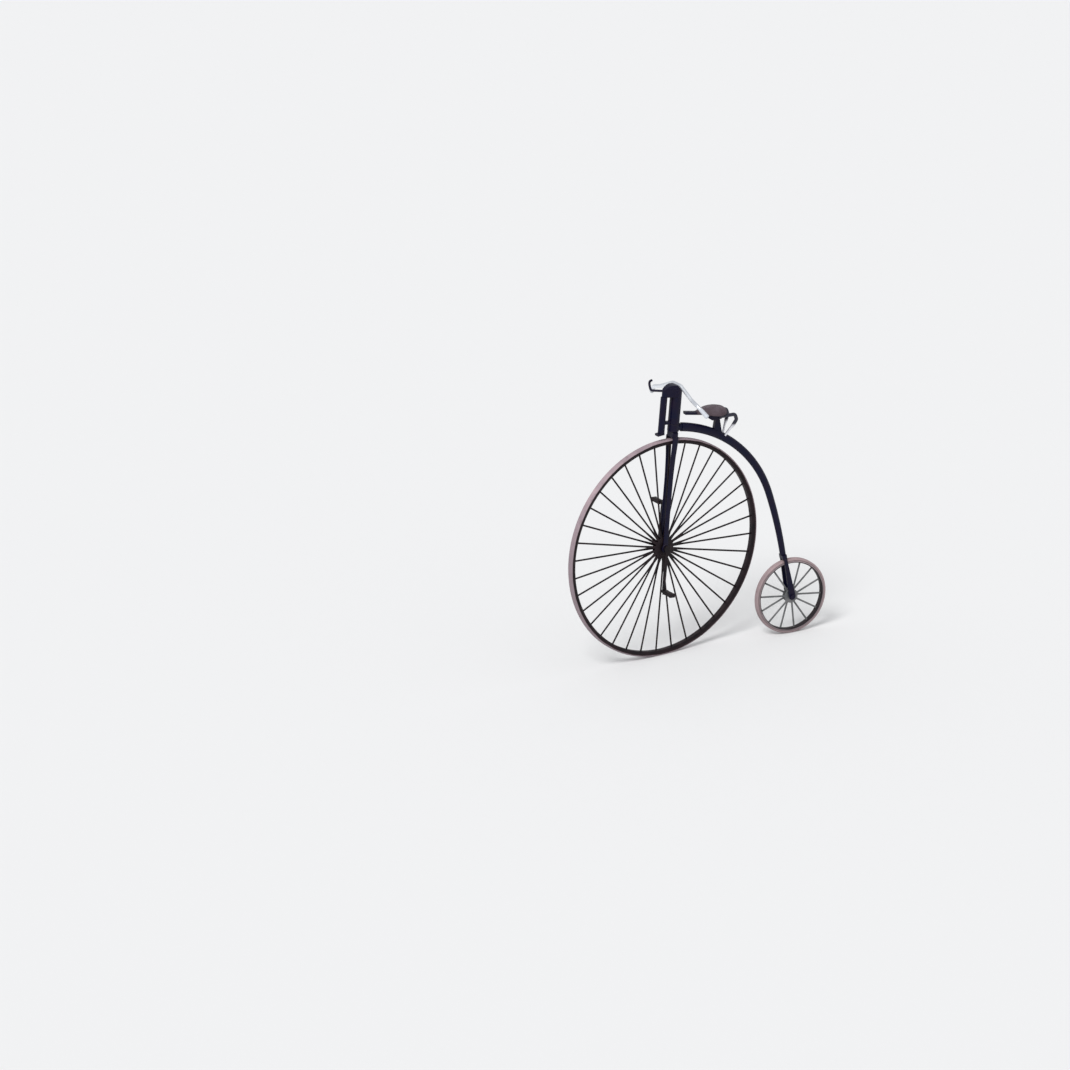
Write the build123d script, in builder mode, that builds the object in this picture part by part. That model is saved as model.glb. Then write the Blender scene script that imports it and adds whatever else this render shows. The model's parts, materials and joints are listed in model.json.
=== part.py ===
# Small metal scale model of a penny farthing, millimetres.
# The bicycle faces -X, its left side is -Y and +Z is up.
# The origin is on top of the saddle, where a rider would sit.
# Two working planes carry everything: "bike" is the plane of the frame and "steered" is the
# same plane turned about the steering axis. In both, local x runs rearward, local y runs up,
# local z runs to the left, and the origin is the front wheel's centre.

import os
from math import asin, ceil, cos, degrees, pi, radians, sin, sqrt

from build123d import *

os.makedirs("parts", exist_ok=True)

# Overall layout
front_wheel_radius = 17.0
rear_wheel_radius = 5.9
tyre_gap = 1.4
rake = 5.0
steer_angle = 8.0
backbone_clearance = 1.75
seat_back = 9.15
saddle_rise = 4.53

# Fits
running_gap = 0.05
seat_gap = 0.02

# Wheels
tyre_height = 0.42
front_tyre_width = 1.2
rear_tyre_width = 0.96
front_rim_height = 0.58
rear_rim_height = 0.38
rim_taper = 0.3
spoke_width = 0.24
spoke_thickness = 0.12
spoke_root_depth = 0.48
flange_thickness = 0.16
flange_spread = 0.76
front_spokes_per_side = 18
front_flange_radius = 1.65
front_barrel_radius = 0.85
front_axle_radius = 0.34
rear_spokes_per_side = 7
rear_flange_radius = 1.1
rear_barrel_radius = 0.6
rear_axle_radius = 0.25

# Tyre section from rim to tread, one row each: shares of the tyre's height and half width
tyre_section = [(1.0, 0.96), (0.5, 1.0), (0.0, 0.5)]

# Front fork and steering head
fork_gap_top = 1.44
fork_gap_low = 0.96
fork_leg_thickness = 0.24
fork_leg_width_top = 0.85
fork_leg_width_low = 0.6
bearing_radius = 0.62
bearing_thickness = 0.32
crown_clearance = 0.3
crown_length = 0.95
crown_round = 0.3
crown_shoulder = 0.4
journal_radius = 0.5
column_radius = 0.88
neck_height = 1.1
neck_stub = 1.3
end_play = 0.05
column_height = 4.25

# Handlebar and brake
lug_height = 1.85
lug_front_height = 1.0
lug_back_height = 0.9
bar_radius = 0.25
bar_set = 0.0
bar_round = 1.2
bar_facet = 0.35
bar_flats = 12
grip_radius = 0.35
grip_length = 1.75
grip_cap = 0.1
brake_rod_forward = 2.16
brake_rod_radius = 0.37
spoon_clearance = 0.9
spoon_thickness = 0.32
spoon_length = 1.15
spoon_width = 0.85
spoon_set = 0.2
bracket_height = 0.42
bracket_width = 0.62
lever_radius = 0.18
lever_start_drop = -0.95
lever_round = 0.6
wire_facet = 0.3
wire_flats = 8

# Handlebar bends on one side, from the middle out: back, up, out from the bar's centre
bar_bends = [(0.0, 0.0, 0.8), (0.0, -1.1, 4.0), (0.0, -1.9, 5.6), (0.8, -3.2, 7.1)]

# Brake lever bends beyond the lug: up and out from the bar's centre, at the brake rod
lever_bends = [(-1.75, -3.5), (-0.35, -4.0)]

# Cranks and pedals
crank_length = 6.6
crank_gap = 0.1
crank_thickness = 0.28
crank_boss_radius = 0.5
crank_end_radius = 0.3
crank_arm_width_boss = 0.5
crank_arm_width_end = 0.34
pedal_spindle_radius = 0.17
pedal_spindle_length = 0.3
pedal_length = 1.9
pedal_width = 0.95
pedal_height = 0.6
pedal_plate_thickness = 0.16
pedal_notch_width = 0.16
pedal_notch_height = 0.08

# Backbone and rear fork
backbone_top_radius = 0.55
backbone_low_radius = 0.43
backbone_bend_end = 18.0
backbone_facet = 2.3
rear_fork_lean = 11.0
rear_fork_gap = 1.1
rear_blade_thickness = 0.22
rear_blade_width_top = 0.46
rear_eye_radius = 0.53
rear_crown_clearance = 0.3
rear_crown_height = 0.62
rear_crown_length = 0.74
rear_crown_round = 0.25
axle_nut_radius = 0.36
axle_nut_thickness = 0.2

# Saddle
saddle_frame_front = -2.7
saddle_frame_back = 0.65
saddle_frame_width = 2.4
saddle_frame_drop = 1.75
saddle_frame_bevel = 0.55
saddle_front_bevel = 0.77
saddle_nose_width = 0.8
saddle_post_set = -0.18
saddle_post_length = 0.6
saddle_post_foot = 1.5
saddle_post_width = 0.62
spring_wire_radius = 0.19
spring_drop = 0.4
spring_round = 0.45

# Saddle top sections, one row each, from the seat's origin:
# distance back, half width, top, side edge, underside
saddle_sections = [
    (-3.20, 0.75, -0.30, -0.46, -0.66),
    (-2.00, 1.55, -0.10, -0.36, -0.66),
    (-0.80, 2.30, 0.00, -0.42, -0.66),
    (0.25, 2.25, 0.00, -0.46, -0.66),
    (1.05, 1.60, -0.14, -0.46, -0.66),
    (1.45, 0.90, -0.32, -0.48, -0.66),
]

# Nose bar of the saddle frame, seen from the side: distance back and height from the seat's origin
nose_outline = [(-5.65, -0.07), (-3.30, -0.44), (-2.30, -0.60), (-2.30, -1.02), (-5.65, -0.49)]

# Saddle spring bends from the seat's origin, backbone to frame: back, up, out
spring_top = min(row[4] for row in saddle_sections) - spring_wire_radius - spring_drop
spring_out = saddle_frame_width / 2 + spring_wire_radius
spring_bends = [
    (0.85, -4.95, 0.30), (1.85, -3.55, 0.75), (2.40, -3.00, 1.05), (2.80, -2.00, spring_out),
    (2.35, spring_top, spring_out), (-0.60, spring_top, spring_out),
]

# Working planes
backbone_radius = front_wheel_radius + backbone_clearance
seat_height = sqrt(backbone_radius**2 - seat_back**2) + saddle_rise
hub = Vector(-seat_back, 0, -seat_height)
axis_up = Vector(sin(radians(rake)), 0, cos(radians(rake)))
axis_back = Vector(cos(radians(rake)), 0, -sin(radians(rake)))
to_left = Vector(0, -1, 0)
steering_axis = Axis(hub, axis_up)
seat = Plane(origin=(0, 0, 0), x_dir=(1, 0, 0), z_dir=to_left)
bike = Plane(origin=hub, x_dir=(1, 0, 0), z_dir=to_left)
steered = Plane(
    origin=hub,
    x_dir=axis_back.rotate(steering_axis, steer_angle),
    z_dir=to_left.rotate(steering_axis, steer_angle),
)

axle_drop = front_wheel_radius - rear_wheel_radius
axle_distance = front_wheel_radius + rear_wheel_radius + tyre_gap
rear_axle_back = sqrt(axle_distance**2 - axle_drop**2)
rear_axle_point = bike.from_local_coords((rear_axle_back, -axle_drop, 0))
rear_wheel_plane = Plane(origin=rear_axle_point, x_dir=bike.x_dir, z_dir=bike.z_dir)
lean_axis = Axis(rear_axle_point, (0, 1, 0))
rear_fork_plane = Plane(
    origin=rear_axle_point,
    x_dir=bike.x_dir.rotate(lean_axis, -rear_fork_lean),
    z_dir=bike.z_dir,
)


def axle_section(plane):
    """Plane through a wheel's axle: local x is radial, local y runs along the axle to the left."""
    return Plane(origin=plane.origin, x_dir=plane.x_dir, z_dir=-plane.y_dir)


def across(plane, height):
    """Plane square to the given plane's up direction, at a height above its origin."""
    return Plane(
        origin=plane.from_local_coords((0, height, 0)), x_dir=plane.x_dir, z_dir=plane.y_dir
    )


def facing(plane):
    """Plane seen from ahead: local x runs to the left, local y runs up."""
    return Plane(origin=plane.origin, x_dir=plane.z_dir, z_dir=-plane.x_dir)


def stretch(start, end):
    """Plane at start, facing end, for a straight rod between the two points."""
    return Plane(origin=start, z_dir=end - start)


def tube(path, start_radius, end_radius, step, side, flats=0):
    """Bar along lines and arcs, in straight lengths no longer than the step in an arc."""
    runs = [0.0]
    for edge in path.order_edges():
        pieces = 1 if edge.geom_type == GeomType.LINE else ceil(edge.length / step)
        done = runs[-1]
        runs += [done + edge.length * piece / pieces for piece in range(1, pieces + 1)]
    rings = []
    for run in runs:
        spot = Plane(
            origin=path.position_at(run, position_mode=PositionMode.LENGTH),
            x_dir=side,
            z_dir=path.tangent_at(run, position_mode=PositionMode.LENGTH),
        )
        radius = start_radius + run / runs[-1] * (end_radius - start_radius)
        with BuildSketch(spot) as ring:
            if flats:
                RegularPolygon(radius, flats)
            else:
                Circle(radius)
        rings.append(ring.sketch)
    loft(sections=rings, ruled=True)


# Heights along the steering axis, from the hub up
neck_base = backbone_radius - neck_height / 2
crown_base = front_wheel_radius + crown_clearance
crown_top = neck_base - end_play
journal_top = neck_base + neck_height + end_play
column_top = journal_top + column_height
bar_height = column_top + lug_height

fork_inner_top = fork_gap_top / 2
fork_inner_low = fork_gap_low / 2
fork_outer_top = fork_inner_top + fork_leg_thickness
fork_outer_low = fork_inner_low + fork_leg_thickness
bearing_outer = fork_inner_low + bearing_thickness
crank_inner = bearing_outer + crank_gap
crank_outer = crank_inner + crank_thickness
rear_fork_inner = rear_fork_gap / 2
rear_fork_outer = rear_fork_inner + rear_blade_thickness
flange_outer = flange_spread / 2
flange_inner = flange_outer - flange_thickness
sides = {"left": 1, "right": -1}

# Wheels: name, plane, wheel radius, tyre width, rim height, spokes on a side, flange radius,
# radius of the flange's hole, place of each side's first spoke as a share of the spoke space
wheels = [
    ("front", steered, front_wheel_radius, front_tyre_width, front_rim_height,
     front_spokes_per_side, front_flange_radius, front_axle_radius + seat_gap,
     {"left": 0.56, "right": 0.06}),
    ("rear", rear_wheel_plane, rear_wheel_radius, rear_tyre_width, rear_rim_height,
     rear_spokes_per_side, rear_flange_radius, rear_axle_radius + running_gap,
     {"left": 0.4, "right": 0.9}),
]
for (wheel_name, wheel_plane, wheel_radius, tyre_width, rim_height, spoke_count, flange_radius,
     hole_radius, first_spoke) in wheels:
    wheel_axis = Axis(wheel_plane.origin, wheel_plane.z_dir)
    rim_outer = wheel_radius - tyre_height - seat_gap
    rim_inner = rim_outer - rim_height

    near_half = [
        (wheel_radius - deep * tyre_height, wide * tyre_width / 2) for deep, wide in tyre_section
    ]
    far_half = [(radius, -half) for radius, half in reversed(near_half)]
    with BuildPart() as tyre:
        with BuildSketch(axle_section(wheel_plane)):
            with BuildLine():
                Polyline(*near_half, *far_half, close=True)
            make_face()
        revolve(axis=wheel_axis)
    tyre.part.label = f"{wheel_name}_tyre"
    export_step(tyre.part, f"parts/{wheel_name}_tyre.step")

    # The rim is as wide as the tyre's seat outside and tapers towards the spokes.
    rim_half = near_half[0][1]
    with BuildPart() as rim:
        with BuildSketch(axle_section(wheel_plane)):
            with BuildLine():
                Polyline(
                    (rim_outer, rim_half),
                    (rim_inner, rim_half - rim_taper),
                    (rim_inner, rim_taper - rim_half),
                    (rim_outer, -rim_half),
                    close=True,
                )
            make_face()
        revolve(axis=wheel_axis)
    rim.part.label = f"{wheel_name}_rim"
    export_step(rim.part, f"parts/{wheel_name}_rim.step")

    # Each side is one etched spider: a flange with dished spokes that meet the rim at its middle.
    # The two sides are turned by half a spoke space, so that their spokes alternate.
    for side, sign in sides.items():
        root_radius = flange_radius - spoke_root_depth
        root_out = sign * (flange_outer - flange_thickness / 2)
        tip_radius = rim_inner - seat_gap
        with BuildPart() as spokes:
            with BuildSketch(wheel_plane.offset(sign * flange_inner)):
                Circle(flange_radius)
                Circle(hole_radius, mode=Mode.SUBTRACT)
            extrude(amount=sign * flange_thickness)
            for number in range(spoke_count):
                turn = 2 * pi * (number + first_spoke[side]) / spoke_count
                root = wheel_plane.from_local_coords(
                    (root_radius * cos(turn), root_radius * sin(turn), root_out)
                )
                tip = wheel_plane.from_local_coords(
                    (tip_radius * cos(turn), tip_radius * sin(turn), 0)
                )
                rod = tip - root
                flat = wheel_plane.z_dir.cross(rod)
                with BuildSketch(Plane(origin=root, x_dir=flat, z_dir=rod)):
                    Rectangle(spoke_width, spoke_thickness)
                extrude(amount=rod.length)
        spokes.part.label = f"{wheel_name}_spokes_{side}"
        export_step(spokes.part, f"parts/{wheel_name}_spokes_{side}.step")

# Front hub: a barrel between the flanges with the axle out to the cranks, all one turning
with BuildPart() as front_hub:
    with BuildSketch(steered.offset(-flange_inner)):
        Circle(front_barrel_radius)
    extrude(amount=2 * flange_inner)
    with BuildSketch(steered.offset(-crank_inner)):
        Circle(front_axle_radius)
    extrude(amount=2 * crank_inner)
front_hub.part.label = "front_hub"
export_step(front_hub.part, "parts/front_hub.step")

# Rear hub: a plain barrel that runs on the fixed axle
with BuildPart() as rear_hub:
    with BuildSketch(rear_wheel_plane.offset(-flange_inner)):
        Circle(rear_barrel_radius)
        Circle(rear_axle_radius + running_gap, mode=Mode.SUBTRACT)
    extrude(amount=2 * flange_inner)
rear_hub.part.label = "rear_hub"
export_step(rear_hub.part, "parts/rear_hub.step")

# Cranks and pedals: the left crank hangs down beside its fork leg, the right one stands up
for side, sign in sides.items():
    end_height = -sign * crank_length
    with BuildPart() as crank:
        with BuildSketch(steered.offset(sign * crank_inner)):
            with BuildLine():
                Polyline(
                    (-crank_arm_width_boss / 2, 0),
                    (crank_arm_width_boss / 2, 0),
                    (crank_arm_width_end / 2, end_height),
                    (-crank_arm_width_end / 2, end_height),
                    close=True,
                )
            make_face()
            Circle(crank_boss_radius)
            with Locations((0, end_height)):
                Circle(crank_end_radius)
        extrude(amount=sign * crank_thickness)
    crank.part.label = f"crank_{side}"
    export_step(crank.part, f"parts/crank_{side}.step")

    # Each pedal is a foot block with notched edges between two plates, on a short spindle
    pedal_inner = crank_outer + pedal_spindle_length
    with BuildPart() as pedal:
        with BuildSketch(steered.offset(sign * crank_outer)):
            with Locations((0, end_height)):
                Circle(pedal_spindle_radius)
        extrude(amount=sign * pedal_spindle_length)
        with BuildSketch(steered.offset(sign * pedal_inner)):
            with Locations((0, end_height)):
                Rectangle(pedal_width, pedal_height)
        extrude(amount=sign * pedal_length)
        with BuildSketch(steered.offset(sign * (pedal_inner + pedal_plate_thickness))):
            with Locations(
                (-pedal_width / 2, end_height - pedal_height / 2),
                (pedal_width / 2, end_height - pedal_height / 2),
                (-pedal_width / 2, end_height + pedal_height / 2),
                (pedal_width / 2, end_height + pedal_height / 2),
            ):
                Rectangle(2 * pedal_notch_width, 2 * pedal_notch_height)
        extrude(amount=sign * (pedal_length - 2 * pedal_plate_thickness), mode=Mode.SUBTRACT)
    pedal.part.label = f"pedal_{side}"
    export_step(pedal.part, f"parts/pedal_{side}.step")

# Fork legs: flat tapered blades that close in towards the hub, each with a round bearing
for side, sign in sides.items():
    with BuildPart() as fork_leg:
        with BuildSketch(steered):
            with BuildLine():
                Polyline(
                    (-fork_leg_width_top / 2, crown_base),
                    (fork_leg_width_top / 2, crown_base),
                    (fork_leg_width_low / 2, 0),
                    (-fork_leg_width_low / 2, 0),
                    close=True,
                )
            make_face()
        extrude(amount=sign * fork_outer_top)
        with BuildSketch(facing(steered).offset(-fork_leg_width_top)):
            with BuildLine():
                Polyline(
                    (sign * fork_inner_top, crown_base),
                    (sign * fork_outer_top, crown_base),
                    (sign * fork_outer_low, 0),
                    (sign * fork_inner_low, 0),
                    close=True,
                )
            make_face()
        extrude(amount=2 * fork_leg_width_top, mode=Mode.INTERSECT)
        with BuildSketch(steered.offset(sign * fork_inner_low)):
            Circle(bearing_radius)
        extrude(amount=sign * bearing_thickness)
        with BuildSketch(steered):
            Circle(front_axle_radius + running_gap)
        extrude(amount=sign * bearing_outer, mode=Mode.SUBTRACT)
    fork_leg.part.label = f"fork_leg_{side}"
    export_step(fork_leg.part, f"parts/fork_leg_{side}.step")

# Fork crown: bridges the legs over the tyre and carries the journal that turns in the neck
with BuildPart() as fork_crown:
    with BuildSketch(across(steered, crown_base)):
        RectangleRounded(crown_length, 2 * fork_outer_top, crown_round)
    extrude(amount=crown_top - crown_base)
    with BuildSketch(facing(steered).offset(-crown_length)):
        with BuildLine():
            Polyline(
                (-fork_outer_top, crown_base),
                (-fork_outer_top, crown_top - crown_shoulder),
                (-fork_outer_top + crown_shoulder, crown_top),
                (fork_outer_top - crown_shoulder, crown_top),
                (fork_outer_top, crown_top - crown_shoulder),
                (fork_outer_top, crown_base),
                close=True,
            )
        make_face()
    extrude(amount=2 * crown_length, mode=Mode.INTERSECT)
    with BuildSketch(across(steered, crown_top)):
        Circle(journal_radius)
    extrude(amount=journal_top - crown_top)
fork_crown.part.label = "fork_crown"
export_step(fork_crown.part, "parts/fork_crown.step")

# Steering column: stands on the journal, above the neck
with BuildPart() as steering_column:
    with BuildSketch(across(steered, journal_top)):
        Circle(column_radius)
    extrude(amount=column_height)
steering_column.part.label = "steering_column"
export_step(steering_column.part, "parts/steering_column.step")

# Handlebar lug: spans from the brake rod to the column, under a domed top that holds the bar
with BuildPart() as handlebar_lug:
    with BuildSketch(across(steered, column_top)):
        Circle(column_radius)
        with Locations((-brake_rod_forward, 0)):
            Circle(brake_rod_radius)
        make_hull()
    extrude(amount=lug_height)
    with BuildSketch(steered.offset(-column_radius)):
        lug_front = -brake_rod_forward - brake_rod_radius
        with BuildLine():
            Polyline(
                (column_radius, column_top + lug_back_height),
                (column_radius, column_top),
                (lug_front, column_top),
                (lug_front, column_top + lug_front_height),
            )
            ThreePointArc(
                (lug_front, column_top + lug_front_height),
                (-column_radius, column_top + lug_height),
                (column_radius, column_top + lug_back_height),
            )
        make_face()
        with Locations((bar_set, bar_height)):
            Circle(bar_radius + seat_gap, mode=Mode.SUBTRACT)
    extrude(amount=2 * column_radius, mode=Mode.INTERSECT)
handlebar_lug.part.label = "handlebar_lug"
export_step(handlebar_lug.part, "parts/handlebar_lug.step")

# Handlebar: bare wire, level over the lug, drooping outward and then bent down to the grips
bar_points = [(bar_set + back, bar_height + up, out) for back, up, out in reversed(bar_bends)]
bar_points += [(bar_set + back, bar_height + up, -out) for back, up, out in bar_bends]
bar_corners = [steered.from_local_coords(point) for point in bar_points]
with BuildPart() as handlebar:
    with BuildLine() as bar_path:
        FilletPolyline(*bar_corners, radius=bar_round)
    tube(bar_path.wires()[0], bar_radius, bar_radius, bar_facet, steered.x_dir, bar_flats)
handlebar.part.label = "handlebar"
export_step(handlebar.part, "parts/handlebar.step")

# Grips: turned handles pushed over the ends of the bar
for side, corner, neighbour in (
    ("left", bar_corners[0], bar_corners[1]),
    ("right", bar_corners[-1], bar_corners[-2]),
):
    grip_end = corner - (neighbour - corner).normalized() * grip_cap
    with BuildPart() as grip:
        with BuildSketch(stretch(grip_end, neighbour)):
            Circle(grip_radius)
        extrude(amount=grip_length)
        with BuildSketch(stretch(corner, neighbour)):
            Circle(bar_radius + seat_gap)
        extrude(amount=grip_length, mode=Mode.SUBTRACT)
    grip.part.label = f"grip_{side}"
    export_step(grip.part, f"parts/grip_{side}.step")

# Brake spoon: a short curved shoe above the tyre, ahead of the crown
spoon_inner = front_wheel_radius + spoon_clearance
spoon_outer = spoon_inner + spoon_thickness
spoon_half_angle = degrees(asin(spoon_length / 2 / spoon_inner))
spoon_middle = 90 + degrees(asin((brake_rod_forward + spoon_set) / spoon_inner))
with BuildPart() as brake_spoon:
    with BuildSketch(steered.offset(-spoon_width / 2)):
        with BuildLine():
            low = CenterArc((0, 0), spoon_inner, spoon_middle - spoon_half_angle,
                            2 * spoon_half_angle)
            high = CenterArc((0, 0), spoon_outer, spoon_middle - spoon_half_angle,
                             2 * spoon_half_angle)
            Line(low @ 0, high @ 0)
            Line(low @ 1, high @ 1)
        make_face()
    extrude(amount=spoon_width)
brake_spoon.part.label = "brake_spoon"
export_step(brake_spoon.part, "parts/brake_spoon.step")

# Brake rod: down from the lug to the spoon, parallel to the column
rod_foot = spoon_outer - spoon_thickness / 2
with BuildPart() as brake_rod:
    with BuildSketch(across(steered, rod_foot)):
        with Locations((-brake_rod_forward, 0)):
            Circle(brake_rod_radius)
    extrude(amount=column_top - rod_foot)
    add(brake_spoon.part, mode=Mode.SUBTRACT)
brake_rod.part.label = "brake_rod"
export_step(brake_rod.part, "parts/brake_rod.step")

# Brake bracket: ties the rod to the foot of the column
with BuildPart() as brake_bracket:
    with BuildSketch(across(steered, journal_top)):
        with Locations((-brake_rod_forward / 2, 0)):
            Rectangle(brake_rod_forward, bracket_width)
        Circle(column_radius + seat_gap, mode=Mode.SUBTRACT)
        with Locations((-brake_rod_forward, 0)):
            Circle(brake_rod_radius + seat_gap, mode=Mode.SUBTRACT)
    extrude(amount=bracket_height)
brake_bracket.part.label = "brake_bracket"
export_step(brake_bracket.part, "parts/brake_bracket.step")

# Brake lever: a thin bar out along the right half of the handlebar, hooked up at its end
lever_start = (lever_start_drop, -brake_rod_radius)
lever_corners = [
    steered.from_local_coords((-brake_rod_forward, bar_height + up, out))
    for up, out in [lever_start, *lever_bends]
]
with BuildPart() as brake_lever:
    with BuildLine() as lever_path:
        FilletPolyline(*lever_corners, radius=lever_round)
    tube(lever_path.wires()[0], lever_radius, lever_radius, wire_facet, steered.x_dir, wire_flats)
brake_lever.part.label = "brake_lever"
export_step(brake_lever.part, "parts/brake_lever.step")

# Backbone: one tapered tube, bent over the wheel and then almost straight to the rear fork
backbone_start_angle = 90 - rake - degrees(neck_stub / backbone_radius)
rear_crown_base = rear_wheel_radius + rear_crown_clearance
rear_crown_top = rear_crown_base + rear_crown_height
backbone_end = bike.to_local_coords(rear_fork_plane.from_local_coords((0, rear_crown_top, 0)))
with BuildPart() as backbone:
    with BuildLine(bike) as backbone_path:
        bend = CenterArc(
            (0, 0), backbone_radius, backbone_start_angle, backbone_bend_end - backbone_start_angle
        )
        TangentArc((bend @ 1), (backbone_end.X, backbone_end.Y), tangent=bend % 1)
    spine = backbone_path.wires()[0]
    tube(spine, backbone_top_radius, backbone_low_radius, backbone_facet, bike.z_dir)
backbone.part.label = "backbone"
export_step(backbone.part, "parts/backbone.step")

# Neck: the ring that turns on the fork's journal, with the stub that the backbone is fixed to
with BuildPart() as neck:
    with BuildSketch(across(steered, neck_base)):
        Circle(column_radius)
    extrude(amount=neck_height)
    with BuildSketch(Plane(origin=spine @ 0, z_dir=-(spine % 0))):
        Circle(backbone_top_radius)
    extrude(amount=neck_stub - journal_radius - running_gap)
    with BuildSketch(across(steered, neck_base)):
        Circle(journal_radius + running_gap)
    extrude(amount=neck_height, mode=Mode.SUBTRACT)
neck.part.label = "neck"
export_step(neck.part, "parts/neck.step")

# Rear fork: a crown at the foot of the backbone and two flat blades down to the axle
with BuildPart() as rear_fork_crown:
    with BuildSketch(across(rear_fork_plane, rear_crown_base)):
        RectangleRounded(rear_crown_length, 2 * rear_fork_outer, rear_crown_round)
    extrude(amount=rear_crown_height)
rear_fork_crown.part.label = "rear_fork_crown"
export_step(rear_fork_crown.part, "parts/rear_fork_crown.step")

for side, sign in sides.items():
    with BuildPart() as rear_blade:
        with BuildSketch(rear_fork_plane.offset(sign * rear_fork_inner)):
            with BuildLine():
                Polyline(
                    (-rear_blade_width_top / 2, rear_crown_base),
                    (rear_blade_width_top / 2, rear_crown_base),
                    (rear_eye_radius, 0),
                    (-rear_eye_radius, 0),
                    close=True,
                )
            make_face()
            Circle(rear_eye_radius)
            Circle(rear_axle_radius + seat_gap, mode=Mode.SUBTRACT)
        extrude(amount=sign * rear_blade_thickness)
    rear_blade.part.label = f"rear_fork_blade_{side}"
    export_step(rear_blade.part, f"parts/rear_fork_blade_{side}.step")

# Rear axle: a pin through both blades, with a nut at each end
with BuildPart() as rear_axle:
    with BuildSketch(rear_wheel_plane.offset(-rear_fork_outer)):
        Circle(rear_axle_radius)
    extrude(amount=2 * rear_fork_outer)
    for sign in sides.values():
        with BuildSketch(rear_wheel_plane.offset(sign * rear_fork_outer)):
            RegularPolygon(axle_nut_radius, 6)
        extrude(amount=sign * axle_nut_thickness)
rear_axle.part.label = "rear_axle"
export_step(rear_axle.part, "parts/rear_axle.step")

# Saddle top: lofted through its sections, narrow nose to broad rounded back
with BuildPart() as saddle_top:
    for back, half_width, top, edge, base in saddle_sections:
        station = Plane(
            origin=seat.from_local_coords((back, 0, 0)), x_dir=seat.z_dir, z_dir=-seat.x_dir
        )
        with BuildSketch(station):
            with BuildLine():
                Polyline(
                    (-half_width, edge), (-half_width, base), (half_width, base), (half_width, edge)
                )
                ThreePointArc((half_width, edge), (0, top), (-half_width, edge))
            make_face()
    loft()
saddle_top.part.label = "saddle_top"
export_step(saddle_top.part, "parts/saddle_top.step")

# Saddle frame: a plate under the leather, bevelled below, with a nose bar that runs out ahead
frame_top = min(row[4] for row in saddle_sections) - seat_gap
frame_base = -saddle_frame_drop
frame_middle = (saddle_frame_front + saddle_frame_back) / 2
with BuildPart() as saddle_frame:
    with BuildSketch(Plane(origin=seat.from_local_coords((frame_middle, frame_base, 0)))):
        SlotOverall(saddle_frame_back - saddle_frame_front, saddle_frame_width)
    extrude(amount=frame_top - frame_base)
    with BuildSketch(seat.offset(-saddle_frame_width / 2)):
        with BuildLine():
            Polyline(
                (saddle_frame_front, frame_top),
                (saddle_frame_back, frame_top),
                (saddle_frame_back, frame_base + saddle_frame_bevel),
                (saddle_frame_back - saddle_frame_bevel, frame_base),
                (frame_middle - saddle_frame_bevel, frame_base),
                (saddle_frame_front, frame_base + saddle_front_bevel),
                close=True,
            )
        make_face()
    extrude(amount=saddle_frame_width, mode=Mode.INTERSECT)
    with BuildSketch(seat.offset(-saddle_nose_width / 2)):
        with BuildLine():
            Polyline(*nose_outline, close=True)
        make_face()
    extrude(amount=saddle_nose_width)
    add(saddle_top.part, mode=Mode.SUBTRACT)
saddle_frame.part.label = "saddle_frame"
export_step(saddle_frame.part, "parts/saddle_frame.step")

# Saddle post: stands astride the backbone's crest and carries the saddle frame
post_middle = seat_back + saddle_post_set
post_foot_height = sqrt(backbone_radius**2 - post_middle**2)
post_top_height = seat_height + frame_base
with BuildPart() as saddle_post:
    with BuildSketch(bike.offset(-saddle_post_width / 2)):
        with BuildLine():
            Polyline(
                (post_middle - saddle_post_length / 2, post_top_height),
                (post_middle + saddle_post_length / 2, post_top_height),
                (post_middle + saddle_post_foot / 2, post_foot_height),
                (post_middle - saddle_post_foot / 2, post_foot_height),
                close=True,
            )
        make_face()
    extrude(amount=saddle_post_width)
    add(backbone.part, mode=Mode.SUBTRACT)
saddle_post.part.label = "saddle_post"
export_step(saddle_post.part, "parts/saddle_post.step")

# Saddle springs: a wire on each side, from the backbone round to the side of the frame
for side, sign in sides.items():
    spring_corners = [
        seat.from_local_coords((back, up, sign * out)) for back, up, out in spring_bends
    ]
    with BuildPart() as spring:
        with BuildLine() as spring_path:
            FilletPolyline(*spring_corners, radius=spring_round)
        tube(spring_path.wires()[0], spring_wire_radius, spring_wire_radius, wire_facet,
             seat.z_dir, wire_flats)
        add(backbone.part, mode=Mode.SUBTRACT)
    spring.part.label = f"saddle_spring_{side}"
    export_step(spring.part, f"parts/saddle_spring_{side}.step")

# Joint and mount places, for the record
tread_out = crank_outer + pedal_spindle_length + pedal_length / 2
tread_up = pedal_height / 2
places = {
    "front axle": (hub, steered.z_dir),
    "rear axle": (rear_axle_point, rear_wheel_plane.z_dir),
    "steering axis": (hub, axis_up),
    "left grip": (bar_corners[0], bar_corners[0] - bar_corners[1]),
    "right grip": (bar_corners[-1], bar_corners[-1] - bar_corners[-2]),
    "left pedal": (
        steered.from_local_coords((0, tread_up - crank_length, tread_out)), steered.y_dir
    ),
    "right pedal": (
        steered.from_local_coords((0, tread_up + crank_length, -tread_out)), steered.y_dir
    ),
}
for place, (point, direction) in places.items():
    unit = direction.normalized()
    print(place, [round(v / 1000, 7) for v in point], [round(v, 6) for v in unit])
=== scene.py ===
import bpy
import bmesh
import json
from math import cos, pi, radians, sin, sqrt
from mathutils import Matrix, Vector


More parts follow.
